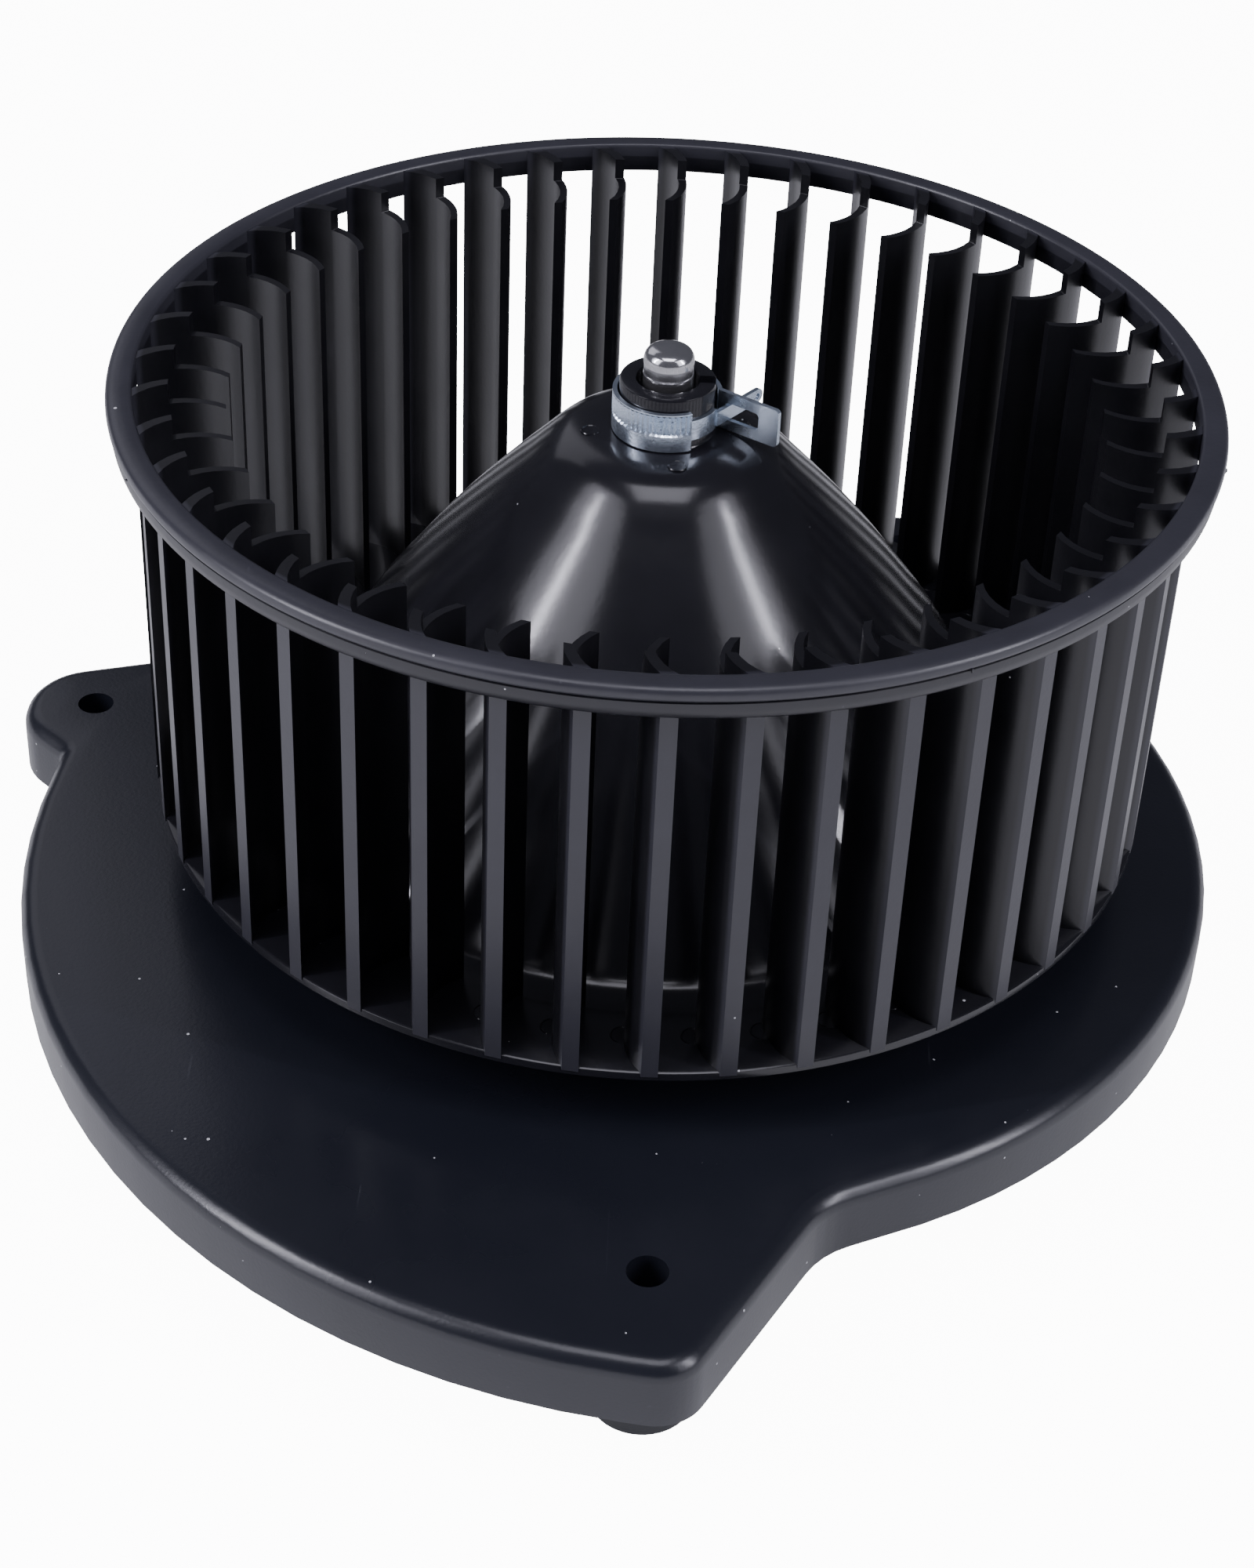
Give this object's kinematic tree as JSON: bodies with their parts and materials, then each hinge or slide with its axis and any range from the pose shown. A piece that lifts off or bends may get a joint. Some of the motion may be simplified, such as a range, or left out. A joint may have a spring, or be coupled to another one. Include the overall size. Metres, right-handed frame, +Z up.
{
  "type": "blower motor wheel",
  "caption": "Heater blower: centrifugal wheel with forward-curved blades clamped on a motor shaft, the motor hung in a three-eared mounting flange.",
  "frame": {"origin": "on the motor's axis, at the level of the three mounting bosses' feet and of the motor's flat end", "axes": "+Z up along the motor's axis from the motor's end towards the shaft's free end; +X along the flat on the shaft, towards the clamp's two finger tabs; -Y towards the front ear"},
  "size_m": [0.209, 0.2324, 0.1173],
  "materials": {
    "black_plastic": "satin moulded black plastic",
    "wheel_plastic": "moulded black plastic, glossy on the dome and satin on the blades",
    "bare_steel": "ground and polished steel",
    "zinc_plate": "bright bluish zinc plating",
    "can_steel": "drawn and plated steel",
    "rubber": "soft black rubber",
    "ferrite": "pressed dark ferrite",
    "lamination": "stacked electrical steel",
    "copper": "enamelled and drawn copper",
    "bronze": "sintered bronze and brass sheet",
    "carbon": "pressed carbon",
    "card": "brown laminate board"
  },
  "bodies": {
    "base": {"mounting_flange": "black_plastic", "isolator_ring": "rubber", "motor_can": "can_steel", "motor_end_cap": "black_plastic", "magnet_1": "ferrite", "magnet_2": "ferrite", "lower_bearing": "bronze", "upper_bearing": "bronze", "brush_card": "card", "brush_holder_1": "bronze", "brush_spring_1": "bare_steel", "brush_holder_2": "bronze", "brush_spring_2": "bare_steel", "connector_housing": "black_plastic", "terminal_1": "bronze", "terminal_2": "bronze", "motor_screw_1": "zinc_plate", "motor_screw_2": "zinc_plate", "motor_screw_3": "zinc_plate"},
    "rotor": {"motor_shaft": "bare_steel", "armature_stack": "lamination", "armature_winding": "copper", "commutator": "copper", "thrust_washer_1": "rubber", "thrust_washer_2": "rubber", "blower_wheel": "wheel_plastic", "spring_clamp": "zinc_plate"},
    "brush_a": {"brush_1": "carbon"},
    "brush_b": {"brush_2": "carbon"}
  },
  "joints": [
    {"name": "rotor_spin", "type": "hinge", "parent": "base", "child": "rotor", "pos_m": [0, 0, 0.05], "axis": [0, 0, 1], "continuous": true},
    {"name": "brush_1_slide", "type": "slide", "parent": "base", "child": "brush_a", "axis": [0, 1, 0], "range_m": [0, 0.004], "stiffness_N_per_m": 150, "springref_m": -0.006, "deforming": ["brush_spring_1"]},
    {"name": "brush_2_slide", "type": "slide", "parent": "base", "child": "brush_b", "axis": [0, -1, 0], "range_m": [0, 0.004], "stiffness_N_per_m": 150, "springref_m": -0.006, "deforming": ["brush_spring_2"]}
  ]
}
